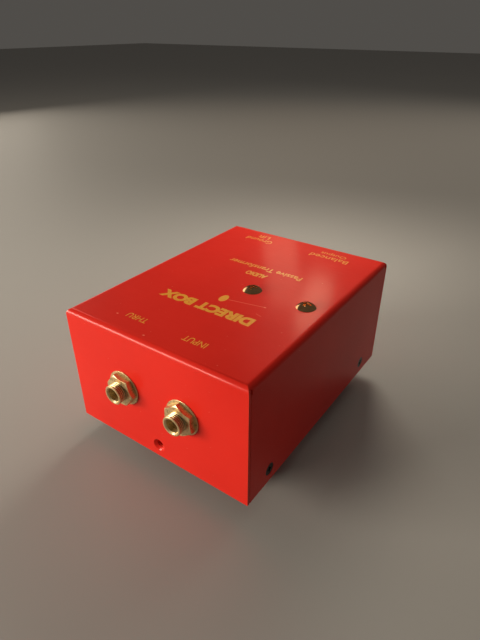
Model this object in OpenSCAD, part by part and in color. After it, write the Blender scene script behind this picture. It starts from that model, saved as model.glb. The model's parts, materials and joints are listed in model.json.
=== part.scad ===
// Passive direct injection box: a folded steel cover on a recessed base pan, two quarter-inch
// jacks at the front, a three-pin output connector and a ground-lift toggle at the rear, and an
// open-frame transformer hung from the top.
// Frame: millimetres, +Z up, jacks face -Y, +X to the right of someone facing the jacks.
// The origin is the centre of the whole object's footprint, on the surface that it stands on.

/* [Housing] */
// Width of the cover
shell_w = 101.6; // [96:0.1:108]
// Depth of the cover, front panel to rear panel
shell_d = 134.9; // [130:0.1:150]
// Height of the cover, without the feet
shell_h = 62.5; // [60:0.1:70]
// Thickness of the folded steel
sheet_t = 1.5; // [1.2:0.1:1.6]
// Outside radius of the top bends
bend_r = 2.8; // [2.2:0.1:4]
// Gap where a side panel butts behind the front or rear panel
seam_gap = 0.3; // [0.2:0.05:0.5]
// Recess of the base pan above the cover's lower edge
pan_recess = 1; // [0.5:0.1:2]
// Height of the base pan's upturned flanges
flange_h = 13; // [12:0.5:16]

/* [Feet] */
// Height of the cover's lower edge above the table
foot_clear = 12.6; // [10:0.1:16]
// Diameter of a foot where it meets the pan
foot_d = 19; // [16:0.5:22]
// Distance from a foot's centre to the outside of a side panel
foot_side_in = 20; // [18:0.5:24]
// Distance from a foot's centre to the outside of the front or rear panel
foot_end_in = 22; // [20:0.5:28]

/* [Jacks] */
// Distance between the two jack axes
jack_spacing = 34.6; // [34:0.1:40]
// Height of the jack axes above the cover's lower edge
jack_up = 32.1; // [30:0.1:34]
// Length of bushing that stands out of the front panel
bushing_out = 7.2; // [7:0.1:9.5]
// Bore for a quarter-inch plug
jack_bore_d = 6.5; // [6.4:0.05:6.6]
// Outside diameter of the flat washer
washer_d = 17.5; // [15:0.5:18]

/* [Rear panel] */
// Distance of the output connector to the right of the middle
xlr_x = 22.5; // [20:0.5:26]
// Height of the connector and the toggle above the cover's lower edge
rear_up = 31; // [29:0.5:33]
// Distance of the toggle to the left of the middle
toggle_x = 22; // [18:0.5:26]
// Angle of the toggle lever to either side of square
lever_tilt = 12.5; // [10:0.5:13]

/* [Transformer] */
// Distance between the transformer's two screws
xfmr_spacing = 29.6; // [29:0.1:31]
// Distance of the transformer's middle to the right of the middle
xfmr_x = 23.9; // [22:0.1:26]
// Distance of the transformer's middle behind the front panel
xfmr_back = 64.5; // [60:0.5:70]

/* [Hidden] */
$fn = 72;

// The toggle lever's tip is the rearmost point and the jack mouths are the foremost.
lever_pivot = 2.6;
lever_len = 14.4;
lever_tip_r = 1.46;
lever_out = lever_pivot + (lever_len - lever_tip_r) * cos(lever_tilt) + lever_tip_r;
front_y = -(shell_d + lever_out - bushing_out) / 2;
rear_y = front_y + shell_d;
mid_y = (front_y + rear_y) / 2;
base_z = foot_clear;
top_z = base_z + shell_h;
jack_z = base_z + jack_up;
rear_z = base_z + rear_up;
jack_x = [jack_spacing / 2, -jack_spacing / 2];
xfmr_y = front_y + xfmr_back;

// Screws that hold the cover to the pan
side_screw_y = [front_y + 17.2, front_y + 114.9];
screw_up = 6.8;
end_screw_x = 1.2;
csk_d = 6.6;
cover_hole_d = 4;
screw_d = 3.4;
clearance = 0.04;

// Base pan
pan_gap = 0.25;
pan_bend_r = 2.2;
pan_z = base_z + pan_recess;
pan_w = shell_w - 2 * (sheet_t + pan_gap);
pan_d = shell_d - 2 * (sheet_t + pan_gap);

// Feet
foot_tip_d = 16.4;
foot_screw_d = 3.5;
foot_recess_h = 6;
foot_nut_t = 2.6;
foot_x = shell_w / 2 - foot_side_in;
foot_y = [front_y + foot_end_in, rear_y - foot_end_in];

// Jacks: local +Z points out of the mouth, 0 is the front panel's outer face, +Y is up
bushing_d = 9.525;
jack_pitch = 0.794;
washer_t = 0.5;
nut_t = 2.9;
nut_af = 14;
jack_nut_turn = [35, -8];
lock_t = 0.8;
frame_t = 1.2;
plate_z = -sheet_t - lock_t - frame_t;
arm_y = 8;
arm_end = -17;
leaf_t = 0.4;
wafer_t = 0.8;
leaf_y = arm_y - wafer_t - leaf_t / 2;
stack_z = -11.5;
stack_len = 7;
leaf_hinge_z = -16.2;
leaf_w = 5;
lug_t = 0.8;
rivet_d = 2.4;
wafer_shoulder_r = 2;
lug_x = 8.2;

// Output connector: local +Z points out of the rear panel, +Y is up, +X is to the
// right of someone facing the rear panel
xlr_w = 26;
xlr_h = 31;
xlr_plate_t = 2;
xlr_cup_r = 9.6;
xlr_cup_wall = 2.2;
xlr_floor = -13.2;
xlr_back = -17;
xlr_hole = [9.5, 12];
pin_r = 1.2;
pin_stem_r = 1.6;
pin_circle_r = 5.9;
pin_tip = 0.8;
pin_angles = [30, 150, 270];
xlr_screw_d = 3;
xlr_nut_t = 2.4;

// Toggle switch: the same local frame as the connector
tog_bush_d = 6.35;
tog_pitch = 0.635;
tog_bush_top = 6.6;
tog_body_z = -2.4;
tog_case_z = -11.8;
tog_body_w = 7;
tog_body_l = 12.8;
tog_cover_t = 0.4;
tog_washer_t = 0.6;
ball_r = 1.95;
socket_r = 2;
rocker_z = -8.2;
rocker_tilt = 8;
terminal_gap = 4.7;

// Transformer: local origin on the inside of the top, +Z up
core_w = 20;
core_d = 8;
core_h = 17;
core_leg = 3.2;
strap_t = 0.9;
winding_d = 16.4;
xfmr_screw_d = 2.9;
head_d = 9.6;
head_h = 2.2;
xfmr_lock_t = 0.7;
xfmr_nut_t = 2.4;

// ---- shared shapes ----

// A block with two rounded upper corners, standing on y = 0
module loaf(span, h, r) {
    translate([-span / 2, 0]) square([span, h - r]);
    translate([-span / 2 + r, 0]) square([span - 2 * r, h]);
    for (side = [-1, 1]) translate([side * (span / 2 - r), h - r]) circle(r);
}

// A solid box whose four upper edges are rounded
module folded_block(w, d, h, r) {
    intersection() {
        translate([0, d, 0]) rotate([90, 0, 0]) linear_extrude(2 * d) loaf(w, h, r);
        translate([-w, 0, 0]) rotate([90, 0, 90]) linear_extrude(2 * w) loaf(d, h, r);
    }
}

// A folded tray that is open underneath
module folded_tray(w, d, h, t, r) {
    difference() {
        folded_block(w, d, h, r);
        translate([0, 0, -1]) folded_block(w - 2 * t, d - 2 * t, h + 1 - t, r - t);
    }
}

module hex(af, h) {
    linear_extrude(h) circle(d = af / cos(30), $fn = 6);
}

// A hexagon nut with a plain bore, standing on z = 0; its upper face is chamfered, and its
// lower face too unless it is flat
module hex_nut(af, h, bore, flat_below = false) {
    corner_r = af / 2 / cos(30);
    chamfer = (corner_r - af / 2) * 0.6;
    below = flat_below ? [[0, 0], [corner_r, 0]] : [[0, 0], [af / 2, 0], [corner_r, chamfer]];
    difference() {
        intersection() {
            hex(af, h);
            rotate_extrude() polygon(concat(
                below, [[corner_r, h - chamfer], [af / 2, h], [0, h]]
            ));
        }
        translate([0, 0, -1]) cylinder(d = bore, h = h + 2);
    }
}

// A ring with its outer edges eased, standing on z = 0
module washer(outer, inner, t) {
    ease = t / 4;
    rotate_extrude() polygon([
        [inner / 2, 0], [outer / 2 - ease, 0], [outer / 2, ease],
        [outer / 2, t - ease], [outer / 2 - ease, t], [inner / 2, t]
    ]);
}

// Crests and roots of a thread, bottom to top, as outline points of a turned part
function thread_points(major_r, depth, low, high, pitch) =
    let (turns = floor((high - low) / pitch), step = (high - low) / turns)
    [for (i = [0 : turns - 1]) each [
        [major_r - depth, low + i * step],
        [major_r, low + (i + 0.35) * step],
        [major_r, low + (i + 0.65) * step]
    ]];

// A cross recess, cut downwards from z = 0
module cross_recess(across, depth) {
    slot = across * 0.24;
    for (turn = [0, 90]) rotate([0, 0, turn]) {
        translate([-across / 2, -slot / 2, -depth * 0.6]) cube([across, slot, depth]);
        translate([-across / 3, -slot / 2, -depth]) cube([across * 2 / 3, slot, depth]);
    }
}

// A flat countersunk screw with its head's face at z = 0 and its shank below
module flat_screw(head, shank, length, recess) {
    cone = (head - shank) / 2;
    difference() {
        union() {
            translate([0, 0, -cone]) cylinder(d1 = shank, d2 = head, h = cone);
            translate([0, 0, -length]) cylinder(d = shank, h = length - cone / 2);
        }
        cross_recess(recess, cone * 0.8);
    }
}

// A low domed head on z = 0, with a cross recess
module dome_head(d, h) {
    dome_r = (d * d / 4 + h * h) / (2 * h);
    difference() {
        rotate_extrude() intersection() {
            translate([0, h - dome_r]) circle(dome_r, $fn = 180);
            square([d, h + 1]);
        }
        translate([0, 0, h]) cross_recess(d * 0.5, h * 0.62);
    }
}

// ---- housing ----

module place_cover() {
    translate([0, mid_y, base_z]) children();
}

// Puts a countersunk hole's cutter, drilled along -Z from z = 0, at every cover screw hole.
// The front hole has lost its screw, so it is left out of the screws themselves.
module at_cover_holes(with_front) {
    for (y = side_screw_y) {
        translate([shell_w / 2, y, base_z + screw_up]) rotate([0, 90, 0]) children();
        translate([-shell_w / 2, y, base_z + screw_up]) rotate([0, -90, 0]) children();
    }
    translate([end_screw_x, rear_y, base_z + screw_up]) rotate([-90, 0, 0]) children();
    if (with_front)
        translate([end_screw_x, front_y, base_z + screw_up]) rotate([90, 0, 0]) children();
}

module cover_hole() {
    sink = (csk_d - cover_hole_d) / 2;
    translate([0, 0, -sheet_t - 1]) cylinder(d = cover_hole_d, h = sheet_t + 2);
    translate([0, 0, -sink]) cylinder(d1 = cover_hole_d, d2 = csk_d, h = sink);
    cylinder(d = csk_d, h = 1);
}

// The open seams at the vertical corners, each ending in a small relief notch
module corner_seams() {
    notch = 0.9;
    notch_h = 2.4;
    bend_z = shell_h - bend_r;
    for (side = [0, 1], end = [0, 1]) mirror([side, 0, 0]) mirror([0, end, 0])
        translate([shell_w / 2 - sheet_t, -shell_d / 2 + sheet_t, 0]) {
            translate([0, 0, -1]) cube([sheet_t + 1, seam_gap, bend_z + 1]);
            translate([0, 0, bend_z - notch_h / 2]) cube([sheet_t + 1, notch, notch_h]);
        }
}

module cover_shell() {
    color("firebrick") difference() {
        place_cover() difference() {
            folded_tray(shell_w, shell_d, shell_h, sheet_t, bend_r);
            corner_seams();
        }
        at_cover_holes(true) cover_hole();
        for (x = jack_x) translate([x, front_y + sheet_t + 1, jack_z]) rotate([90, 0, 0])
            cylinder(d = bushing_d + 0.3, h = sheet_t + 2);
        at_connector() {
            translate([0, 0, -sheet_t - 1])
                cylinder(r = xlr_cup_r + xlr_cup_wall + 0.2, h = sheet_t + 2);
            at_connector_screws() translate([0, 0, -sheet_t - 1])
                cylinder(d = xlr_screw_d + 0.3, h = sheet_t + 2);
        }
        at_toggle() translate([0, 0, -sheet_t - 1])
            cylinder(d = tog_bush_d + 0.2, h = sheet_t + 2);
        at_transformer_screws() translate([0, 0, -1])
            cylinder(d = xfmr_screw_d + 0.6, h = sheet_t + 2);
    }
}

module base_pan() {
    notch = 5;
    color("dimgray") difference() {
        translate([0, mid_y, pan_z + flange_h]) mirror([0, 0, 1]) difference() {
            folded_tray(pan_w, pan_d, flange_h, sheet_t, pan_bend_r);
            for (side = [0, 1], end = [0, 1]) mirror([side, 0, 0]) mirror([0, end, 0])
                translate([pan_w / 2 - notch, pan_d / 2 - notch, -1])
                    cube([notch + 1, notch + 1, flange_h - pan_bend_r]);
        }
        at_cover_holes(true) translate([0, 0, -9]) cylinder(d = screw_d + 2 * clearance, h = 9);
        at_feet() translate([0, 0, -1]) cylinder(d = foot_screw_d + 0.3, h = sheet_t + 2);
    }
}

module cover_screws() {
    color("black") at_cover_holes(false)
        translate([0, 0, -0.15]) flat_screw(csk_d - 0.5, screw_d, 6.5, 3.4);
}

// ---- feet ----

module at_feet() {
    for (x = [-foot_x, foot_x], y = foot_y) translate([x, y, pan_z]) children();
}

module rubber_feet() {
    round_r = 1.5;
    recess_d = 9;
    top_r = foot_d / 2;
    tip_r = foot_tip_d / 2;
    color("black") at_feet() translate([0, 0, -pan_z]) rotate_extrude() difference() {
        union() {
            polygon([
                [foot_screw_d / 2 + 0.1, foot_recess_h],
                [recess_d / 2, foot_recess_h], [recess_d / 2, 0],
                [tip_r - round_r, 0], [tip_r, round_r], [top_r, pan_z],
                [foot_screw_d / 2 + 0.1, pan_z]
            ]);
            translate([tip_r - round_r, round_r]) circle(round_r);
        }
    }
}

module foot_screws() {
    head_t = 2.2;
    color("silver") at_feet() {
        translate([0, 0, -pan_z + foot_recess_h - head_t]) difference() {
            cylinder(d = 7, h = head_t);
            mirror([0, 0, 1]) cross_recess(3.6, 1.3);
        }
        translate([0, 0, -pan_z + foot_recess_h]) cylinder(
            d = foot_screw_d, h = pan_z - foot_recess_h + sheet_t + foot_nut_t + 0.8);
    }
}

module foot_nuts() {
    color("silver") at_feet() translate([0, 0, sheet_t])
        hex_nut(7.9, foot_nut_t, foot_screw_d + 2 * clearance);
}

// ---- jacks ----

module at_jack(i) {
    translate([jack_x[i], front_y, jack_z]) rotate([90, 0, 0]) children();
}

// Bushing with threads up to its eased rim and a swaged shoulder behind the frame
module jack_bushing(i) {
    r = bushing_d / 2;
    bore = jack_bore_d / 2;
    rim = 0.9;
    mouth = 0.6;
    shoulder = [r + 0.6, plate_z - 0.8];
    root = r - 0.4;
    color("lightgray") at_jack(i) rotate_extrude() polygon(concat(
        [[bore, shoulder.y], shoulder, [shoulder.x, plate_z], [r, plate_z]],
        thread_points(r, r - root, -sheet_t, bushing_out - rim, jack_pitch),
        [
            [root, bushing_out - rim], [r, bushing_out - rim * 2 / 3],
            [r, bushing_out - rim / 3], [r - rim / 3, bushing_out],
            [bore + mouth, bushing_out], [bore, bushing_out - mouth]
        ]
    ));
}

// L-shaped frame: a plate behind the panel, an arm that carries the contact stack, and a
// solder lug bent back from the plate's lower edge
module jack_frame(i) {
    half = 7;
    color("lightgray") at_jack(i) difference() {
        union() {
            translate([-half, -8, plate_z]) cube([2 * half, 8 + arm_y + frame_t, frame_t]);
            translate([-leaf_w, arm_y, arm_end]) cube([2 * leaf_w, frame_t, plate_z - arm_end]);
            translate([-1.8, -8, -12]) cube([3.6, lug_t, 12 + plate_z]);
        }
        translate([0, 0, plate_z - 1]) cylinder(d = bushing_d + 2 * clearance, h = frame_t + 2);
        translate([0, arm_y - 1, stack_z]) rotate([-90, 0, 0])
            cylinder(d = rivet_d + 2 * clearance, h = frame_t + 2);
        translate([0, -9, -10.4]) rotate([-90, 0, 0]) cylinder(d = 1.6, h = 3);
    }
}

module jack_flat_washer(i) {
    color("lightgray") at_jack(i) washer(washer_d, bushing_d + 0.3, washer_t);
}

module jack_nut(i) {
    color("lightgray") at_jack(i) translate([0, 0, washer_t]) rotate([0, 0, jack_nut_turn[i]])
        hex_nut(nut_af, nut_t, bushing_d + 2 * clearance, true);
}

module jack_lock_washer(i) {
    teeth = 10;
    color("silver") at_jack(i) translate([0, 0, -sheet_t - lock_t]) difference() {
        cylinder(d = 15, h = lock_t);
        translate([0, 0, -1]) cylinder(d = bushing_d + 0.2, h = lock_t + 2);
        for (k = [0 : teeth - 1]) rotate([0, 0, k * 360 / teeth])
            translate([4, -0.5, -1]) cube([2, 1, lock_t + 2]);
    }
}

// Two insulating wafers that clamp the leaf; a shoulder keeps the rivet off the leaf
module jack_wafers(i) {
    color("peru") at_jack(i) difference() {
        union() {
            for (y = [arm_y - wafer_t, leaf_y - leaf_t / 2 - wafer_t])
                translate([-leaf_w, y, stack_z - stack_len / 2])
                    cube([2 * leaf_w, wafer_t, stack_len]);
            translate([0, leaf_y - leaf_t / 2 - wafer_t / 2, stack_z]) rotate([-90, 0, 0])
                cylinder(r = wafer_shoulder_r, h = leaf_t + wafer_t);
        }
        translate([0, 0, stack_z]) rotate([-90, 0, 0])
            cylinder(d = rivet_d + 2 * clearance, h = arm_y + 1);
    }
}

module jack_rivet(i) {
    low = leaf_y - leaf_t / 2 - wafer_t;
    head_t = 0.6;
    color("gold") at_jack(i) translate([0, 0, stack_z]) rotate([-90, 0, 0]) {
        translate([0, 0, low - head_t]) cylinder(d = 4.4, h = head_t);
        translate([0, 0, low - head_t / 2]) cylinder(d = rivet_d, h = arm_y + frame_t - low + head_t);
        translate([0, 0, arm_y + frame_t]) cylinder(d = 4, h = head_t);
    }
}

// The clamped root of the tip leaf, with its solder lug to one side
module jack_tip_lug(i) {
    color("gold") at_jack(i) difference() {
        translate([0, leaf_y - leaf_t / 2, 0]) {
            translate([-leaf_w / 2, 0, leaf_hinge_z + leaf_t / 2 + clearance])
                cube([leaf_w, leaf_t, stack_z + stack_len / 2 - leaf_hinge_z - leaf_t]);
            translate([0, 0, stack_z - 1.6]) cube([10, leaf_t, 3.2]);
        }
        translate([0, 0, stack_z]) rotate([-90, 0, 0])
            cylinder(r = wafer_shoulder_r + clearance, h = arm_y);
        translate([lug_x, 0, stack_z]) rotate([-90, 0, 0]) cylinder(d = 1.6, h = arm_y);
    }
}

// The free blade of the tip leaf: straight, then a V that rides on the plug's tip.
// Its root is rounded about the hinge line.
module jack_tip_spring(i) {
    half = leaf_t / 2;
    touch = 1.9;
    color("gold") at_jack(i) rotate([0, -90, 0]) linear_extrude(leaf_w, center = true) {
        translate([leaf_hinge_z, leaf_y]) circle(half);
        translate([leaf_hinge_z - 1.8, leaf_y - half]) square([1.8, leaf_t]);
        polygon([
            [-18, leaf_y - half], [-18, leaf_y + half], [-22, touch + half * 2],
            [-23, touch + half * 2], [-25, touch + 2.2], [-24.6, touch + 2.4 - leaf_t * 1.6],
            [-22.8, touch], [-22.2, touch]
        ]);
    }
}

// ---- output connector ----

module at_rear(x) {
    translate([x, rear_y, rear_z]) rotate([90, 0, 180]) children();
}

module at_connector() {
    at_rear(xlr_x) children();
}

module at_connector_screws() {
    for (side = [-1, 1]) translate([side * -xlr_hole[0], side * xlr_hole[1], 0]) children();
}

module output_connector_shell() {
    corner = 3;
    latch_w = 5;
    lip_t = 0.5;
    color("silver") at_connector() difference() {
        union() {
            linear_extrude(xlr_plate_t) {
                square([xlr_w - 2 * corner, xlr_h], center = true);
                square([xlr_w, xlr_h - 2 * corner], center = true);
                for (sx = [-1, 1], sy = [-1, 1])
                    translate([sx * (xlr_w / 2 - corner), sy * (xlr_h / 2 - corner)]) circle(corner);
            }
            cylinder(r = xlr_cup_r + xlr_cup_wall - 0.6, h = xlr_plate_t + lip_t);
            translate([0, 0, xlr_back])
                cylinder(r = xlr_cup_r + xlr_cup_wall, h = xlr_plate_t / 2 - xlr_back);
        }
        translate([0, 0, xlr_back - 1]) cylinder(r = xlr_cup_r, h = 30);
        translate([-latch_w / 2, 0, -5]) cube([latch_w, xlr_cup_r + 1.3, 10]);
        at_connector_screws() {
            translate([0, 0, -1]) cylinder(d = xlr_screw_d + 0.3, h = xlr_plate_t + 2);
            translate([0, 0, xlr_plate_t - 1.4]) cylinder(d1 = xlr_screw_d + 0.3, d2 = 6.1, h = 1.4);
        }
    }
}

module output_connector_insert() {
    color("black") at_connector() difference() {
        translate([0, 0, xlr_back + 0.5])
            cylinder(r = xlr_cup_r - clearance, h = xlr_floor - xlr_back - 0.5);
        at_pins() translate([0, 0, -30]) cylinder(r = pin_stem_r + clearance, h = 40);
    }
}

module at_pins() {
    for (a = pin_angles) rotate([0, 0, a]) translate([pin_circle_r, 0, 0]) children();
}

// Contact pins with rounded tips, on thicker stems that end in open solder cups
module output_connector_pins() {
    cup_end = -22;
    cup_bore_r = 1.15;
    cup_depth = 3.5;
    color("silver") at_connector() at_pins() difference() {
        union() {
            translate([0, 0, cup_end]) cylinder(r = pin_stem_r, h = xlr_floor - cup_end);
            translate([0, 0, cup_end + 5]) cylinder(r = pin_r, h = pin_tip - pin_r - cup_end - 5);
            translate([0, 0, pin_tip - pin_r]) sphere(pin_r);
        }
        translate([0, 0, cup_end - 1]) cylinder(r = cup_bore_r, h = cup_depth + 1);
        translate([0, -2, cup_end - 1]) cube([2, 4, cup_depth]);
    }
}

module output_connector_screws() {
    color("silver") at_connector() at_connector_screws()
        translate([0, 0, xlr_plate_t]) flat_screw(5.8, xlr_screw_d, 8.5, 3);
}

module output_connector_nuts() {
    color("silver") at_connector() at_connector_screws()
        translate([0, 0, -sheet_t - xlr_nut_t]) hex_nut(5.5, xlr_nut_t, xlr_screw_d + 2 * clearance);
}

// ---- ground-lift toggle ----

module at_toggle() {
    at_rear(-toggle_x) children();
}

// Threaded bushing: a round socket for the lever's ball, flared at the mouth
module toggle_bushing() {
    r = tog_bush_d / 2;
    mouth_r = 2.45;
    color("lightgray") at_toggle() rotate_extrude() polygon(concat(
        [[socket_r, tog_body_z], [r, tog_body_z]],
        thread_points(r, 0.3, tog_body_z + 0.6, tog_bush_top - 0.4, tog_pitch),
        [[r - 0.3, tog_bush_top], [mouth_r, tog_bush_top], [socket_r, lever_pivot + 1.6]]
    ));
}

// Folded steel cover over the front of the switch case
module toggle_cover() {
    w = tog_body_w + 0.8;
    l = tog_body_l + 0.8;
    h = 5;
    color("silver") at_toggle() difference() {
        translate([-w / 2, -l / 2, tog_body_z - h]) cube([w, l, h]);
        translate([-w, -tog_body_l / 2, tog_body_z - h - 1])
            cube([2 * w, tog_body_l, h + 1 - tog_cover_t]);
        translate([0, 0, tog_body_z - 1]) cylinder(r = socket_r, h = 2);
    }
}

// Moulded case, hollow for the rocker, open at the front under the cover
module toggle_case() {
    wall = 1;
    color("darkred") at_toggle() difference() {
        translate([-tog_body_w / 2, -tog_body_l / 2 + clearance, tog_case_z])
            cube([tog_body_w, tog_body_l - 2 * clearance, tog_body_z - tog_cover_t - tog_case_z]);
        translate([-tog_body_w / 2 + wall, -tog_body_l / 2 + wall, tog_case_z + 1.6])
            cube([tog_body_w - 2 * wall, tog_body_l - 2 * wall, 12]);
        for (k = [-1, 0, 1]) translate([-1.04, k * terminal_gap - 0.42, tog_case_z - 1])
            cube([2.08, 0.84, 4]);
    }
}

// Three solder terminals; the middle one carries the rocker
module toggle_terminals() {
    end_top = -9.25;
    middle_top = rocker_z - 0.29;
    color("gold") at_toggle() for (k = [-1, 0, 1]) translate([0, k * terminal_gap, 0]) {
        top = k == 0 ? middle_top : end_top;
        difference() {
            translate([-1, -0.38, -16.5]) cube([2, 0.76, top + 16.5]);
            translate([0, 1, -14.8]) rotate([90, 0, 0]) cylinder(d = 1.1, h = 2);
        }
    }
}

module toggle_washer() {
    color("lightgray") at_toggle() washer(10.4, tog_bush_d + 0.2, tog_washer_t);
}

module toggle_nut() {
    color("lightgray") at_toggle() translate([0, 0, tog_washer_t]) rotate([0, 0, 12])
        hex_nut(8, 2, tog_bush_d + 2 * clearance);
}

module toggle_lock_washer() {
    color("silver") at_toggle() translate([0, 0, tog_body_z])
        washer(9.6, tog_bush_d + 0.2, -sheet_t - tog_body_z);
}

// Everything that tilts with the lever is drawn square and turned about the ball
module tilted() {
    at_toggle() translate([0, 0, lever_pivot]) rotate([-lever_tilt, 0, 0]) children();
}

// Bat lever with its ball, and a hollow tail for the plunger
module toggle_lever() {
    neck_r = 1.1;
    tail = 5;
    color("lightgray") tilted() difference() {
        union() {
            sphere(ball_r);
            rotate_extrude() polygon([
                [0, 0], [neck_r, 0], [neck_r, 4.5], [lever_tip_r, lever_len - lever_tip_r],
                [0, lever_len - lever_tip_r]
            ]);
            translate([0, 0, lever_len - lever_tip_r]) sphere(lever_tip_r);
            translate([0, 0, -tail]) cylinder(r = 0.95, h = tail);
        }
        translate([0, 0, -tail - 1]) cylinder(r = 0.6, h = 3.5);
    }
}

// Sprung plunger that pushes on the rocker
module toggle_plunger() {
    tip = -10.4;
    color("ivory") tilted() {
        translate([0, 0, tip + 0.7]) cylinder(r = 0.6 - clearance, h = -2.6 - tip - 0.7);
        translate([0, 0, tip + 0.7]) sphere(0.7);
    }
}

// Seesaw contact on the middle terminal
module toggle_rocker() {
    color("gold") at_toggle() translate([0, 0, rocker_z]) rotate([rocker_tilt, 0, 0]) {
        translate([-1.6, -5.1, -0.25]) cube([3.2, 10.2, 0.5]);
        for (k = [-1, 1]) translate([0, k * terminal_gap, -0.35]) cylinder(r = 0.7, h = 0.6);
    }
}

// ---- transformer ----

module at_transformer() {
    translate([xfmr_x, xfmr_y, top_z - sheet_t]) children();
}

module at_transformer_screws() {
    at_transformer() for (side = [-1, 1]) translate([side * xfmr_spacing / 2, 0, 0]) children();
}

// Laminated core with two windows
module transformer_core() {
    window_w = (core_w - 4 * core_leg) / 2;
    color("gray") at_transformer() translate([0, 0, -strap_t - core_h]) difference() {
        translate([-core_w / 2, -core_d / 2, 0]) cube([core_w, core_d, core_h]);
        for (side = [-1, 1])
            translate([side * (core_leg + window_w / 2), 0, core_h / 2])
                cube([window_w, core_d + 1, core_h - 2 * core_leg], center = true);
    }
}

// Channel strap with two ears, folded down over the ends of the core
module transformer_strap() {
    ear_w = 9;
    ear_reach = xfmr_spacing / 2 + 4.2;
    side_h = core_h - 2;
    color("silver") at_transformer() difference() {
        union() {
            translate([-ear_reach, -ear_w / 2, -strap_t]) cube([2 * ear_reach, ear_w, strap_t]);
            for (side = [-1, 1])
                translate([side * (core_w / 2 + strap_t / 2 + clearance), 0, -side_h / 2])
                    cube([strap_t, ear_w - 1, side_h], center = true);
        }
        for (side = [-1, 1]) translate([side * xfmr_spacing / 2, 0, -strap_t - 1])
            cylinder(d = xfmr_screw_d + 0.4, h = strap_t + 2);
    }
}

// Bobbin: a tube round the middle leg between two flanges
module transformer_bobbin() {
    tube_w = 2 * core_leg + 1.2;
    flange_w = core_w - 2 * core_leg - 0.2;
    flange_t = 0.7;
    window_h = core_h - 2 * core_leg;
    color("ivory") at_transformer() translate([0, 0, -strap_t - core_h / 2]) difference() {
        union() {
            cube([tube_w, core_d + 1.2, window_h - 0.2], center = true);
            for (side = [-1, 1]) translate([0, 0, side * (window_h / 2 - 0.1 - flange_t / 2)])
                cube([flange_w, winding_d + 0.8, flange_t], center = true);
        }
        cube([2 * core_leg + 0.1, core_d + 0.1, window_h + 1], center = true);
    }
}

// Tape-wrapped winding with rounded ends
module transformer_winding() {
    window_h = core_h - 2 * core_leg;
    h = window_h - 1.8;
    w = core_w - 2 * core_leg - 0.4;
    r = 2;
    color("goldenrod") at_transformer() translate([0, 0, -strap_t - core_h / 2]) difference() {
        linear_extrude(h, center = true) {
            square([w - 2 * r, winding_d], center = true);
            square([w, winding_d - 2 * r], center = true);
            for (sx = [-1, 1], sy = [-1, 1])
                translate([sx * (w / 2 - r), sy * (winding_d / 2 - r)]) circle(r);
        }
        cube([2 * core_leg + 1.3, core_d + 1.3, h + 1], center = true);
    }
}

module transformer_screws() {
    reach = sheet_t + strap_t + xfmr_lock_t + xfmr_nut_t + 1;
    color("silver") at_transformer_screws() translate([0, 0, sheet_t]) {
        dome_head(head_d, head_h);
        translate([0, 0, -reach]) cylinder(d = xfmr_screw_d, h = reach + 0.2);
    }
}

module transformer_lock_washers() {
    color("silver") at_transformer_screws() translate([0, 0, -strap_t - xfmr_lock_t]) difference() {
        washer(5.4, xfmr_screw_d + 0.2, xfmr_lock_t);
        translate([0, -0.4, -1]) cube([4, 0.8, 3]);
    }
}

module transformer_nuts() {
    color("silver") at_transformer_screws()
        translate([0, 0, -strap_t - xfmr_lock_t - xfmr_nut_t])
        hex_nut(6.35, xfmr_nut_t, xfmr_screw_d + 2 * clearance);
}

// ---- wiring ----

function unit(v) = v / norm(v);

// Smooth curve through the given points, steps segments between neighbours
function through(p, steps) = let (n = len(p) - 1) concat(
    [for (i = [0 : n - 1], k = [0 : steps - 1])
        let (
            t = k / steps, a = p[max(i - 1, 0)], b = p[i], c = p[i + 1], d = p[min(i + 2, n)]
        )
        0.5 * (2 * b + (c - a) * t + (2 * a - 5 * b + 4 * c - d) * t * t
            + (3 * b - a - 3 * c + d) * t * t * t)],
    [p[n]]
);

// Round wire along a route; the section is carried along without twist
module wire(route, d) {
    sides = 8;
    path = through(route, 4);
    n = len(path);
    dirs = [for (i = [0 : n - 1]) unit(path[min(i + 1, n - 1)] - path[max(i - 1, 0)])];
    start = unit(cross(dirs[0], abs(dirs[0].z) > 0.8 ? [1, 0, 0] : [0, 0, 1]));
    normals = [for (i = 0, v = start; i < n; i = i + 1,
        v = i < n ? unit(v - (v * dirs[i]) * dirs[i]) : v) v];
    rings = [for (i = [0 : n - 1], s = [0 : sides - 1]) let (a = s * 360 / sides)
        path[i] + d / 2 * (cos(a) * normals[i] + sin(a) * cross(dirs[i], normals[i]))];
    walls = [for (i = [0 : n - 2], s = [0 : sides - 1]) let (e = (s + 1) % sides)
        [i * sides + s, i * sides + e, (i + 1) * sides + e, (i + 1) * sides + s]];
    polyhedron(rings, concat(
        walls,
        [[for (s = [sides - 1 : -1 : 0]) s]],
        [[for (s = [0 : sides - 1]) (n - 1) * sides + s]]
    ));
}

wire_d = 1.2;
// Ends of the wires: tip lugs, sleeve lugs, connector cups and toggle terminals
lug_up = jack_z + leaf_y + leaf_t / 2 + wire_d / 2;
lug_y = front_y - stack_z;
tip_end = [for (x = jack_x) [x + lug_x, lug_y, lug_up]];
sleeve_end = [for (x = jack_x) [x, front_y + 10.4, jack_z - 8 - wire_d / 2]];
cup_y = rear_y - 21.4;
function pin_end(i) = [
    xlr_x - pin_circle_r * cos(pin_angles[i]), cup_y, rear_z + pin_circle_r * sin(pin_angles[i])
];
function terminal_end(k) = [-toggle_x + 1.6, rear_y - 15, rear_z + k * terminal_gap];

module tip_jumper() {
    a = tip_end[0];
    b = tip_end[1];
    color("darkorange") wire([
        a, a + [-1, 3, 2.5], [jack_x[0], lug_y + 5, jack_z + 14], [0, lug_y + 6, jack_z + 16],
        b + [6, 5, 5], b + [1, 3, 2.5], b
    ], wire_d);
}

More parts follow.
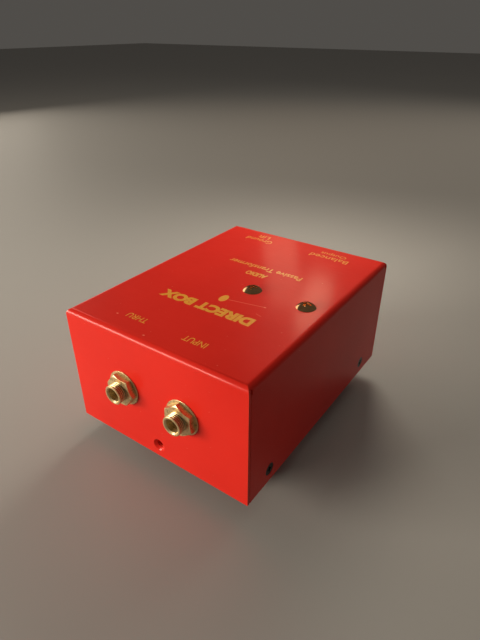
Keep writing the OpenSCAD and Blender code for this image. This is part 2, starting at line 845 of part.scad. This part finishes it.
module sleeve_jumper() {
    a = sleeve_end[0];
    b = sleeve_end[1];
    color("black") wire([
        a, a + [-1, 1, -2], [8, front_y + 12, jack_z - 14], [-8, front_y + 12, jack_z - 14],
        b + [1, 1, -2], b
    ], wire_d);
}

module primary_leads() {
    start_y = xfmr_y - winding_d / 2 - wire_d / 2;
    start_z = top_z - 12;
    color("royalblue") wire([
        [xfmr_x + 3, start_y, start_z], [xfmr_x + 4, start_y - 6, start_z - 1],
        [34, front_y + 34, jack_z + 10], [31, front_y + 20, jack_z + 11],
        tip_end[0] + [3, 2, 2], tip_end[0] + [1.5, 0, 0]
    ], wire_d);
    color("dimgray") wire([
        [xfmr_x - 3, start_y, start_z], [xfmr_x - 4, start_y - 6, start_z - 2],
        [jack_x[0] - 4.5, front_y + 37, jack_z + 4],
        [jack_x[0] - 3.5, front_y + 28, jack_z - 5],
        [jack_x[0] + 0.5, front_y + 19, jack_z - 10.5], sleeve_end[0] + [1.9, 3.5, -1.2],
        sleeve_end[0] + [1.35, 0, 0]
    ], wire_d);
}

module secondary_leads() {
    start_y = xfmr_y + winding_d / 2 + wire_d / 2;
    start_z = top_z - 12;
    high = pin_end(0);
    low = pin_end(2);
    color("orangered") wire([
        [xfmr_x - 3, start_y, start_z], [xfmr_x - 4, start_y + 6, start_z - 2],
        [xfmr_x - 6, mid_y + 24.2, jack_z + 10], high + [0, -8, 3], high
    ], wire_d);
    color("white") wire([
        [xfmr_x + 3, start_y, start_z], [xfmr_x + 5, start_y + 6, start_z - 2],
        [xfmr_x + 8, mid_y + 22.2, jack_z], [xfmr_x + 5, mid_y + 34.2, jack_z - 10], low + [0, -5, -1], low
    ], wire_d);
}

// Connector pin to the toggle
module lift_wire() {
    a = pin_end(1);
    b = terminal_end(0);
    color("green") wire([
        a, a + [-1, -6, 2], [10, mid_y + 34.2, rear_z + 9], [-6, mid_y + 36.2, rear_z + 4], b + [5, -8, 1],
        b + [2, -2, 0], b
    ], wire_d);
}

// Toggle to the sleeves and the chassis
module chassis_wire() {
    a = terminal_end(-1);
    b = sleeve_end[1];
    color("green") wire([
        a, a + [2, -4, -1], [-18, mid_y + 30.2, 30], [-24, mid_y + 4.2, 27], [-24, mid_y - 25.8, 28],
        [-20, front_y + 18, jack_z - 14], b + [-2, 2, -2.5], b + [-1.3, 0, 0]
    ], wire_d);
}

cover_shell();
base_pan();
cover_screws();
rubber_feet();
foot_screws();
foot_nuts();
jack_bushing(0);  // input_jack_bushing
jack_frame(0);  // input_jack_frame
jack_flat_washer(0);  // input_jack_flat_washer
jack_nut(0);  // input_jack_nut
jack_lock_washer(0);  // input_jack_lock_washer
jack_wafers(0);  // input_jack_wafers
jack_rivet(0);  // input_jack_rivet
jack_tip_lug(0);  // input_jack_tip_lug
jack_tip_spring(0);  // input_jack_tip_spring
jack_bushing(1);  // thru_jack_bushing
jack_frame(1);  // thru_jack_frame
jack_flat_washer(1);  // thru_jack_flat_washer
jack_nut(1);  // thru_jack_nut
jack_lock_washer(1);  // thru_jack_lock_washer
jack_wafers(1);  // thru_jack_wafers
jack_rivet(1);  // thru_jack_rivet
jack_tip_lug(1);  // thru_jack_tip_lug
jack_tip_spring(1);  // thru_jack_tip_spring
output_connector_shell();
output_connector_insert();
output_connector_pins();
output_connector_screws();
output_connector_nuts();
toggle_bushing();
toggle_cover();
toggle_case();
toggle_terminals();
toggle_nut();
toggle_washer();
toggle_lock_washer();
toggle_lever();
toggle_plunger();
toggle_rocker();
transformer_core();
transformer_strap();
transformer_bobbin();
transformer_winding();
transformer_screws();
transformer_lock_washers();
transformer_nuts();
tip_jumper();
sleeve_jumper();
primary_leads();
secondary_leads();
lift_wire();
chassis_wire();
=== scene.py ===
import json
import math

import bmesh
import bpy
from mathutils import Matrix, Vector

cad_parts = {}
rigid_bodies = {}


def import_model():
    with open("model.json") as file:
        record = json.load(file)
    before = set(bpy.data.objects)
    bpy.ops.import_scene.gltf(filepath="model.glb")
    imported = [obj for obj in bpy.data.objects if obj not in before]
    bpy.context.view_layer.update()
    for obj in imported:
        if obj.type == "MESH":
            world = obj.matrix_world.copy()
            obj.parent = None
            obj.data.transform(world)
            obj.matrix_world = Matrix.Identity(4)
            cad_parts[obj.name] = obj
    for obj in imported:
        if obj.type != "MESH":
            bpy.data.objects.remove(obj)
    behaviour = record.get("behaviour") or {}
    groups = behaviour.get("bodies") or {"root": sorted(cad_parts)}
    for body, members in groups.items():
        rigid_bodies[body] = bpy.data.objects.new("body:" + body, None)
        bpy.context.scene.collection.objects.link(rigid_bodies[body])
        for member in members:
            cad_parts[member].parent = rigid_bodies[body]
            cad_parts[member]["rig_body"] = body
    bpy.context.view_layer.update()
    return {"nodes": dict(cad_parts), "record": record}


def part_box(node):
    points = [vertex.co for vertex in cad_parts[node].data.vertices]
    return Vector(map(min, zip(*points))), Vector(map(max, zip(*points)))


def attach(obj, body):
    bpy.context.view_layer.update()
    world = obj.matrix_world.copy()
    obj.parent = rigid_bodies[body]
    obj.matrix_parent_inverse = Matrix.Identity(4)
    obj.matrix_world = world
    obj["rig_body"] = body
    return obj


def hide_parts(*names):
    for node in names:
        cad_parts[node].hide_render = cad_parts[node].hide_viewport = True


# Looks of the passive direct injection box: a red enamelled case with nickel jacks, black and
# nickel screws, gold printed legends, and a satin connector and a toggle at the rear.
# Everything is in metres, in the frame of the CAD model: +Z up, the jacks face -Y.

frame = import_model()
MM = 0.001

shell_lo, shell_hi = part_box("cover_shell")
front_y, top_z, base_z = shell_lo.y, shell_hi.z, shell_lo.z
bushing_lo, bushing_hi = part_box("input_jack_bushing")
jack_axis = (bushing_lo + bushing_hi) / 2

# Sizes in millimetres
THREAD_ROOT = 4.36  # radius up to which the painted shade in the jack threads' grooves is darkest
THREAD_CREST = 4.7  # radius from which they carry no painted shade
BORE_MARGIN = 0.1  # what lies more than this inside the root is the bore's wall
RIM_DEPTH = 0.8  # length of the rim at the mouth that carries no painted shade
LEGEND_T = 0.02  # thickness of the printed ink

# What counts as one vertex, as one face and as a sharp edge in the CAD meshes
WELD = 2e-6  # metres between vertices
COPLANAR = math.radians(0.4)  # turn between faces
SHARP = math.radians(32)  # turn between faces


def top_place(x, y):
    """A point on top: x from the middle and y from the front panel, millimetres."""
    return Vector((x * MM, front_y + y * MM, top_z))


# ---------------------------------------------------------------- materials

class Shader:
    """A node material around one Principled shader."""

    def __init__(self, name, **settings):
        self.mat = bpy.data.materials.new(name)
        self.mat.use_nodes = True
        self.nodes = self.mat.node_tree.nodes
        self.links = self.mat.node_tree.links
        self.bsdf = self.nodes["Principled BSDF"]
        for key, value in settings.items():
            self.set(key.replace("_", " ").title().replace("Ior", "IOR"), value)
        self.place = self.node("ShaderNodeTexCoord").outputs["Object"]

    def set(self, socket, value):
        if isinstance(value, (tuple, list)) and len(value) == 3:
            value = (*value, 1)
        self.bsdf.inputs[socket].default_value = value

    def node(self, kind, inputs=None, **settings):
        n = self.nodes.new(kind)
        for key, value in settings.items():
            setattr(n, key, value)
        for key, value in (inputs or {}).items():
            if isinstance(value, bpy.types.NodeSocket):
                self.links.new(value, n.inputs[key])
            else:
                n.inputs[key].default_value = value
        return n

    def to(self, output, socket):
        self.links.new(output, self.bsdf.inputs[socket])

    def stretched(self, scale):
        """The object's own coordinates, scaled by a different amount along each axis."""
        return self.node("ShaderNodeMapping", {"Vector": self.place, "Scale": scale}).outputs[0]

    def noise(self, size, detail=2.0, rough=0.5, vector=None):
        """Noise whose blotches are about size millimetres across."""
        return self.node(
            "ShaderNodeTexNoise",
            {"Vector": vector or self.place, "Scale": 1000 / size, "Detail": detail, "Roughness": rough},
        ).outputs["Fac"]

    def waves(self, scale, distortion, along):
        """Fine parallel lines that follow one another along an axis."""
        return self.node(
            "ShaderNodeTexWave",
            {"Vector": self.place, "Scale": scale, "Distortion": distortion},
            bands_direction=along,
        ).outputs["Fac"]

    def ramp(self, value, *stops):
        """Maps a value to numbers or colours, given as (position, number or colour)."""
        n = self.node("ShaderNodeValToRGB", {"Fac": value})
        while len(n.color_ramp.elements) < len(stops):
            n.color_ramp.elements.new(0.5)
        for element, (position, colour) in zip(n.color_ramp.elements, stops):
            element.position = position
            if not isinstance(colour, (tuple, list)):
                colour = (colour, colour, colour)
            element.color = (*colour, 1)
        return n.outputs["Color"]

    def math(self, operation, a, b=0.0):
        return self.node("ShaderNodeMath", {0: a, 1: b}, operation=operation).outputs[0]

    def vector_math(self, operation, a, b, output="Vector"):
        return self.node("ShaderNodeVectorMath", {0: a, 1: b}, operation=operation).outputs[output]

    def mix(self, factor, a, b):
        """One colour laid over another."""
        n = self.node("ShaderNodeMix", data_type="RGBA")
        for socket, value in ((n.inputs[0], factor), (n.inputs[6], a), (n.inputs[7], b)):
            if isinstance(value, bpy.types.NodeSocket):
                self.links.new(value, socket)
            elif isinstance(value, (tuple, list)):
                socket.default_value = (*value, 1)
            else:
                socket.default_value = value
        return n.outputs[2]

    def edges(self, width):
        """1 on sharp outside and inside edges, 0 on open faces, fading over width millimetres."""
        rounded = self.node("ShaderNodeBevel", {"Radius": width * MM}, samples=6).outputs[0]
        flat = self.node("ShaderNodeNewGeometry").outputs["Normal"]
        dot = self.vector_math("DOT_PRODUCT", rounded, flat, "Value")
        full, none = 0.72, 0.985  # cosines of the angle between the two normals
        return self.ramp(dot, (full, 1.0), (none, 0.0))

    def scratch(self, start, end, width):
        """1 along a straight mark on top between two places, 0 beyond width millimetres of it."""
        a, b = top_place(*start), top_place(*end)
        along = b - a
        reach = self.vector_math("SUBTRACT", self.place, a)
        share = self.vector_math("DOT_PRODUCT", reach, along / along.dot(along), "Value")
        share = self.node("ShaderNodeClamp", {0: share}).outputs[0]
        nearest = self.node("ShaderNodeVectorMath", {0: along, "Scale": share}, operation="SCALE").outputs[0]
        away = self.vector_math("DISTANCE", reach, nearest, "Value")
        return self.node("ShaderNodeMapRange", {0: away, 1: width * MM, 2: width * MM / 3}).outputs[0]

    def bump(self, height, depth, strength=1.0):
        """Bump of so many millimetres' depth, added to what is there already."""
        n = self.node("ShaderNodeBump", {"Height": height, "Distance": depth * MM, "Strength": strength})
        there = self.bsdf.inputs["Normal"].links
        if there:
            self.links.new(there[0].from_socket, n.inputs["Normal"])
        self.to(n.outputs[0], "Normal")


# Scratches and dots on the top's enamel: two ends (x from the middle, y from the front), width
# and strength
SCRATCHES = (
    ((5.5, 49.8), (23.5, 53.3), 0.3, 0.5),
    ((23.2, 53.3), (23.7, 53.3), 0.55, 0.7),
    ((23.3, 46.2), (26.2, 45.4), 0.3, 0.3),
    ((-28.2, 10.8), (-27.8, 10.8), 0.5, 0.8),
    ((-5.6, 4.2), (-5.2, 4.3), 0.45, 0.8),
)


def enamel():
    """Glossy baked enamel: faint orange peel, paler on the edges from thinner enamel and a painted edge
    highlight, a few specks of dust.
    """
    # worn is the colour of thin, rubbed enamel and also of a painted edge highlight
    worn, dusty, scratched = (0.8, 0.11, 0.05), (0.86, 0.42, 0.3), (0.9, 0.3, 0.2)
    s = Shader("red_enamel", specular_ior_level=0.05, coat_weight=0.36, coat_roughness=0.13, coat_ior=1.36)
    tone = s.ramp(s.noise(45, 3), (0.3, (0.68, 0.021, 0.012)), (0.7, (0.75, 0.026, 0.015)))
    # Paler edges: partly thinner, worn enamel and partly a painted highlight along the edges and bends
    thin_and_lit_edges = s.math("MULTIPLY", s.edges(0.5), s.ramp(s.noise(3, 4), (0.35, 0.15), (0.7, 0.75)))
    tone = s.mix(thin_and_lit_edges, tone, worn)
    dust = s.ramp(s.noise(0.9, 1), (0.775, 0.0), (0.8, 0.7))
    rare = s.ramp(s.noise(6, 2), (0.55, 0.0), (0.6, 1.0))
    specks = s.math("MULTIPLY", dust, rare)
    tone = s.mix(specks, tone, dusty)
    for start, end, width, strength in SCRATCHES:
        tone = s.mix(s.math("MULTIPLY", s.scratch(start, end, width), strength), tone, scratched)
    s.to(tone, "Base Color")
    hair = s.noise(0.5, 2, vector=s.stretched((0.05, 1, 1)))
    s.to(s.ramp(hair, (0.4, 0.38), (0.75, 0.52)), "Roughness")
    s.bump(s.noise(1.6, 2), 0.006)
    s.bump(specks, 0.03)
    return s.mat


def painted_groove_shade(s):
    """Painted shade in the jack threads' grooves: 0 at the bottom of the grooves and 1 at their crests,
    on the rim and in the bore, by the distance from the nearer jack's axis."""
    x, y, z = s.node("ShaderNodeSeparateXYZ", {0: s.place}).outputs
    across = s.math("SUBTRACT", s.math("ABSOLUTE", x), jack_axis.x)
    up = s.math("SUBTRACT", z, jack_axis.z)
    flat = s.node("ShaderNodeCombineXYZ", {0: across, 1: up}).outputs[0]
    radius = s.node("ShaderNodeVectorMath", {0: flat}, operation="LENGTH").outputs["Value"]
    groove = s.node("ShaderNodeMapRange", {0: radius, 1: THREAD_ROOT * MM, 2: THREAD_CREST * MM}).outputs[0]
    bore = s.math("LESS_THAN", radius, (THREAD_ROOT - BORE_MARGIN) * MM)
    rim = s.math("LESS_THAN", y, bushing_lo.y + RIM_DEPTH * MM)
    return s.math("MAXIMUM", groove, s.math("MAXIMUM", bore, rim))


def plated(name, colour, dark, rough=0.16, scratches=0.25, metallic=1.0, threads=False):
    """Bright or satin plating: fine scratches, cloudy tarnish, polished edges and, if asked for, painted
    shade in the grooves of the jacks' threads."""
    # Colour of the painted shade in the thread grooves
    groove_shade = (0.045, 0.022, 0.01)
    s = Shader(name, metallic=metallic)
    cloud = s.noise(2.4, 5, 0.6)
    tone = s.ramp(cloud, (0.32, dark), (0.62, colour))
    tone = s.mix(s.math("MULTIPLY", s.edges(0.18), 0.6), tone, [min(1, c * 1.18) for c in colour])
    if threads:
        # Painted shade darkens the bottoms of the thread grooves
        tone = s.mix(painted_groove_shade(s), groove_shade, tone)
    s.to(tone, "Base Color")
    fine = s.noise(0.22, 3, vector=s.stretched((1, 0.12, 1)))
    s.to(s.ramp(s.math("MULTIPLY", cloud, fine), (0.1, rough * 0.7), (0.45, rough * 1.9)), "Roughness")
    s.bump(fine, 0.006, scratches)
    return s.mat


def moulded(name, colour, light, rough=0.45, grain=0.35):
    """Moulded plastic, fibre board or wire insulation with a fine grain and paler rubbed edges."""
    s = Shader(name)
    tone = s.ramp(s.noise(3, 4), (0.3, colour), (0.75, [(a * 3 + b) / 4 for a, b in zip(colour, light)]))
    s.to(s.mix(s.math("MULTIPLY", s.edges(0.3), 0.5), tone, light), "Base Color")
    s.to(s.ramp(s.noise(1.2, 3), (0.3, rough - 0.08), (0.7, rough + 0.1)), "Roughness")
    s.bump(s.noise(grain, 3), 0.02, 0.5)
    return s.mat


def rubber():
    """Moulded black rubber, dusty and a little paler where it is rubbed."""
    s = Shader("black_rubber", specular_ior_level=0.3)
    dust = s.ramp(s.noise(5, 5, 0.65), (0.45, (0.012, 0.012, 0.012)), (0.8, (0.045, 0.042, 0.038)))
    s.to(s.mix(s.math("MULTIPLY", s.edges(0.6), 0.4), dust, (0.07, 0.067, 0.062)), "Base Color")
    s.to(s.ramp(s.noise(2, 3), (0.3, 0.62), (0.7, 0.82)), "Roughness")
    s.bump(s.noise(0.5, 3), 0.03, 0.6)
    return s.mat


def oxide():
    """Black oxide on steel screws, worn to grey on the edges of the recess."""
    s = Shader("black_oxide", metallic=1.0)
    tone = s.ramp(s.noise(1.2, 4), (0.3, (0.018, 0.017, 0.016)), (0.75, (0.05, 0.047, 0.043)))
    s.to(s.mix(s.math("MULTIPLY", s.edges(0.15), 0.5), tone, (0.2, 0.18, 0.16)), "Base Color")
    s.to(s.ramp(s.noise(0.6, 3), (0.3, 0.28), (0.7, 0.48)), "Roughness")
    s.bump(s.noise(0.25, 2), 0.008, 0.5)
    return s.mat


def laminated():
    """Stacked steel sheets: fine dark lines across the stack, which runs front to back."""
    s = Shader("lamination", metallic=1.0)
    lines = s.waves(320, 0.3, "Y")
    s.to(s.ramp(lines, (0.15, (0.06, 0.055, 0.05)), (0.5, (0.3, 0.3, 0.31))), "Base Color")
    s.to(s.ramp(s.noise(1.5, 3), (0.3, 0.35), (0.7, 0.6)), "Roughness")
    s.bump(lines, 0.08)
    return s.mat


def taped_winding():
    """Copper windings seen through amber tape."""
    s = Shader("winding", coat_weight=0.6, coat_roughness=0.2)
    turns = s.waves(620, 0.4, "Z")
    s.to(s.ramp(turns, (0.2, (0.32, 0.17, 0.02)), (0.6, (0.72, 0.45, 0.06))), "Base Color")
    s.to(s.ramp(s.noise(2, 3), (0.3, 0.3), (0.7, 0.5)), "Roughness")
    s.bump(turns, 0.04, 0.6)
    return s.mat


def print_gold():
    """Screen-printed ink: slightly uneven, with pinholes that let a little of the red through."""
    s = Shader("print_gold", coat_weight=0.6, coat_roughness=0.12)
    ink = s.ramp(s.noise(1.1, 4), (0.3, (0.76, 0.32, 0.022)), (0.7, (0.88, 0.4, 0.032)))
    holes = s.ramp(s.noise(0.35, 2), (0.68, 0.0), (0.74, 0.8))
    s.to(s.mix(holes, ink, (0.66, 0.1, 0.03)), "Base Color")
    s.to(s.ramp(s.noise(0.8, 2), (0.3, 0.34), (0.7, 0.48)), "Roughness")
    s.bump(s.noise(0.3, 2), 0.006, 0.4)
    return s.mat


MATERIALS = {
    "red_enamel": enamel(),
    "black_oxide": oxide(),
    "black_rubber": rubber(),
    "zinc_steel": plated("zinc_steel", (0.62, 0.62, 0.6), (0.42, 0.42, 0.4), 0.28),
    "nickel": plated("nickel", (0.72, 0.55, 0.29), (0.6, 0.44, 0.21), 0.27, metallic=0.7, threads=True),
    "screw_nickel": plated("screw_nickel", (0.85, 0.5, 0.24), (0.7, 0.38, 0.16), 0.14, 0.06),
    "phenolic": moulded("phenolic", (0.3, 0.13, 0.05), (0.45, 0.22, 0.1), 0.5),
    "contact_brass": plated("contact_brass", (0.8, 0.6, 0.3), (0.55, 0.38, 0.15), 0.2),
    "satin_nickel": plated("satin_nickel", (0.66, 0.63, 0.57), (0.5, 0.47, 0.42), 0.34, 0.5),
    "black_plastic": moulded("black_plastic", (0.014, 0.014, 0.015), (0.06, 0.06, 0.06)),
    "silver_pins": plated("silver_pins", (0.86, 0.83, 0.76), (0.62, 0.58, 0.5), 0.18),
    "switch_plastic": moulded("switch_plastic", (0.2, 0.014, 0.012), (0.36, 0.06, 0.05)),
    "ivory_plastic": moulded("ivory_plastic", (0.7, 0.64, 0.5), (0.82, 0.78, 0.68)),
    "lamination": laminated(),
    "winding": taped_winding(),
    "wire_orange": moulded("wire_orange", (0.75, 0.24, 0.02), (0.85, 0.42, 0.12), 0.35),
    "wire_black": moulded("wire_black", (0.02, 0.02, 0.02), (0.07, 0.07, 0.07), 0.35),
    "wire_blue": moulded("wire_blue", (0.03, 0.08, 0.42), (0.12, 0.2, 0.6), 0.35),
    "wire_red": moulded("wire_red", (0.55, 0.03, 0.02), (0.7, 0.14, 0.1), 0.35),
    "wire_green": moulded("wire_green", (0.03, 0.28, 0.07), (0.12, 0.45, 0.18), 0.35),
    "print_gold": print_gold(),
}

slot_of = {part["node"]: part["material_slot"] for part in frame["record"]["subparts"]}
for node, obj in frame["nodes"].items():
    obj.data.materials.clear()
    obj.data.materials.append(MATERIALS[slot_of[node]])

# ---------------------------------------------------------------- camera and light

# The camera, as seen from the middle of the front panel's lower edge, millimetres
camera_from = Vector((128.1, -116.1, 174.9))
camera_aim = Vector((20.43, 37.66, 62.46))
camera_roll = math.radians(0.1)
panel_foot = Vector((0, front_y, base_z))

camera = bpy.data.objects.new("camera", bpy.data.cameras.new("camera"))
camera.data.lens = 28
camera.data.sensor_width = 36
camera.data.clip_start = 0.01
camera.location = panel_foot + camera_from * MM
looking = (camera_aim - camera_from).to_track_quat("-Z", "Y")
camera.rotation_mode = "QUATERNION"
camera.rotation_quaternion = looking @ Matrix.Rotation(camera_roll, 4, "Z").to_quaternion()
bpy.context.scene.collection.objects.link(camera)
bpy.context.scene.camera = camera

WARM = (1.0, 0.9, 0.76)
AMBER = (1.0, 0.72, 0.48)


def area_light(name, azimuth, elevation, distance, size, radiance, lean=0, glossy=True, colour=WARM):
    """A soft box aimed at the case. Azimuth 0 stands in front of the jacks and 90 at their
    right; lean turns the box about its own axis. Its power follows from its radiance and size."""
    a, e = math.radians(azimuth), math.radians(elevation)
    away = Vector((math.sin(a) * math.cos(e), -math.cos(a) * math.cos(e), math.sin(e)))
    data = bpy.data.lights.new(name, "AREA")
    data.shape = "RECTANGLE"
    data.size, data.size_y = size
    data.energy = radiance * math.pi * size[0] * size[1]
    data.color = colour
    light = bpy.data.objects.new(name, data)
    middle = (shell_lo + shell_hi) / 2
    light.location = middle + away * distance
    light.rotation_mode = "QUATERNION"
    turn = Matrix.Rotation(math.radians(lean), 4, "Z").to_quaternion()
    light.rotation_quaternion = away.to_track_quat("Z", "Y") @ turn
    light.visible_camera = False
    light.visible_glossy = glossy
    bpy.context.scene.collection.objects.link(light)


# Azimuth and elevation in degrees, distance and size in metres, and radiance
area_light("key", -40, 12, 1.1, (0.6, 0.25), 30)
area_light("card", -97, 15, 1.1, (0.95, 0.5), 1.7)
area_light("overhead", -20, 76, 1.2, (0.9, 0.9), 0.2, glossy=False)
area_light("fill", -163, 42, 0.32, (0.12, 0.12), 12, glossy=False)
area_light("rear", 172, 30, 1.3, (0.6, 0.6), 1.7, glossy=False)
# Two dim strips whose soft images lie on the glossy top
area_light("strip_wide", -151.4, 26.2, 1.21, (0.095, 0.21), 2.5, lean=10, colour=AMBER)
area_light("strip_thin", -156.6, 30.8, 1.21, (0.075, 0.17), 6.2, lean=-14, colour=AMBER)

world = bpy.data.worlds.new("studio")
world.use_nodes = True
world.node_tree.nodes["Background"].inputs["Color"].default_value = (1.0, 0.93, 0.84, 1)
world.node_tree.nodes["Background"].inputs["Strength"].default_value = 0.08
bpy.context.scene.world = world
bpy.context.scene.view_settings.view_transform = "Standard"


def floor():
    """A plain pale floor under the feet."""
    mesh = bpy.data.meshes.new("floor")
    half = 4.0
    corners = [(-half, -half, 0), (half, -half, 0), (half, half, 0), (-half, half, 0)]
    mesh.from_pydata(corners, [], [range(4)])
    obj = bpy.data.objects.new("floor", mesh)
    s = Shader("floor", roughness=0.6)
    s.set("Base Color", (0.38, 0.368, 0.348))
    mesh.materials.append(s.mat)
    bpy.context.scene.collection.objects.link(obj)


floor()

# ---------------------------------------------------------------- pieces


def is_sharp(edge):
    """Whether an edge's two faces turn sharply."""
    return len(edge.link_faces) == 2 and edge.calc_face_angle(0) > SHARP


def eased(node, width):
    """A copy of a CAD node with its sharp edges eased by width millimetres, which stands for it."""
    source = frame["nodes"][node]
    mesh = source.data.copy()
    bm = bmesh.new()
    bm.from_mesh(mesh)
    bmesh.ops.remove_doubles(bm, verts=bm.verts, dist=WELD)
    bmesh.ops.dissolve_limit(bm, angle_limit=COPLANAR, verts=bm.verts, edges=bm.edges)
    bmesh.ops.bevel(
        bm, geom=[e for e in bm.edges if is_sharp(e)], offset=width * MM, offset_type="OFFSET",
        segments=2, profile=0.5, affect="EDGES", clamp_overlap=True,
    )
    for face in bm.faces:
        face.smooth = True
    for edge in bm.edges:
        edge.smooth = not is_sharp(edge)
    bm.to_mesh(mesh)
    bm.free()
    obj = bpy.data.objects.new(node + "_eased", mesh)
    bpy.context.scene.collection.objects.link(obj)
    weight = obj.modifiers.new("weighted", "WEIGHTED_NORMAL")
    weight.keep_sharp = True
    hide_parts(node)
    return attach(obj, source["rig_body"])


def legend(name, words, x, y, height, width, bold=0.0):
    """Printed words on top, upright from the rear. x and y are the middle, y from the front panel,
    and height and width are the whole line's, all in millimetres. Bold thickens the strokes."""
    curve = bpy.data.curves.new(name, "FONT")
    curve.body = words
    curve.offset = bold
    curve.resolution_u = 6
    text = bpy.data.objects.new(name, curve)
    bpy.context.scene.collection.objects.link(text)
    bpy.context.view_layer.update()
    mesh = bpy.data.meshes.new_from_object(text.evaluated_get(bpy.context.evaluated_depsgraph_get()))
    bpy.data.objects.remove(text)
    return print_mesh(name, mesh, x, y, height, width)


def print_mesh(name, mesh, x, y, height, width):
    """Fits a flat mesh to its place on top, and gives it the thickness of the ink."""
    bm = bmesh.new()
    bm.from_mesh(mesh)
    bmesh.ops.remove_doubles(bm, verts=bm.verts, dist=1e-5)
    xs = [v.co.x for v in bm.verts]
    ys = [v.co.y for v in bm.verts]
    middle = Vector(((min(xs) + max(xs)) / 2, (min(ys) + max(ys)) / 2, 0))
    fit_x = width * MM / (max(xs) - min(xs))
    fit_y = height * MM / (max(ys) - min(ys))
    for v in bm.verts:
        p = v.co - middle
        v.co = Vector((x * MM - p.x * fit_x, front_y + y * MM - p.y * fit_y, top_z - LEGEND_T * MM / 2))
    raised = bmesh.ops.extrude_face_region(bm, geom=bm.faces[:])["geom"]
    for v in (g for g in raised if isinstance(g, bmesh.types.BMVert)):
        v.co.z += LEGEND_T * MM
    bmesh.ops.recalc_face_normals(bm, faces=bm.faces)
    for face in bm.faces:
        face.smooth = False
    bm.to_mesh(mesh)
    bm.free()
    mesh.materials.clear()
    mesh.materials.append(MATERIALS["print_gold"])
    obj = bpy.data.objects.new(name, mesh)
    bpy.context.scene.collection.objects.link(obj)
    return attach(obj, "housing")


def oval():
    """A flat round mesh, to be fitted as an oval."""
    sides = 40
    mesh = bpy.data.meshes.new("oval")
    turns = [math.tau * k / sides for k in range(sides)]
    mesh.from_pydata([(math.cos(a), math.sin(a), 0) for a in turns], [], [range(sides)])
    return mesh


# Edges eased by so many millimetres
for node, width in (
    ("cover_shell", 0.22), ("base_pan", 0.2),
    ("input_jack_nut", 0.1), ("thru_jack_nut", 0.1),
    ("input_jack_flat_washer", 0.12), ("thru_jack_flat_washer", 0.12),
):
    eased(node, width)

# Printed words and a plain ornament: middle, height and width
legend("legend_input", "INPUT", 15.3, 12.8, 3.7, 12.0)
legend("legend_thru", "THRU", -17.7, 13.0, 3.6, 11.6)
legend("legend_heading", "DIRECT BOX", 0.4, 38.4, 6.8, 52.2, 0.06)
print_mesh("ornament", oval(), 2.65, 49.65, 6.6, 4.1)
legend("legend_model", "AUDIO", 0.9, 80.1, 4.2, 12.2, 0.05)
legend("legend_passive", "Passive Transformer", 0.7, 88.1, 4.2, 44.7, 0.01)
legend("legend_balanced", "Balanced", 22.3, 120.3, 4.2, 22.9)
legend("legend_output", "Output", 22.8, 125.9, 3.9, 15.5)
legend("legend_ground", "Ground", -23.8, 120.8, 4.2, 17.5)
legend("legend_lift", "Lift", -23.8, 126.3, 3.9, 8.0)
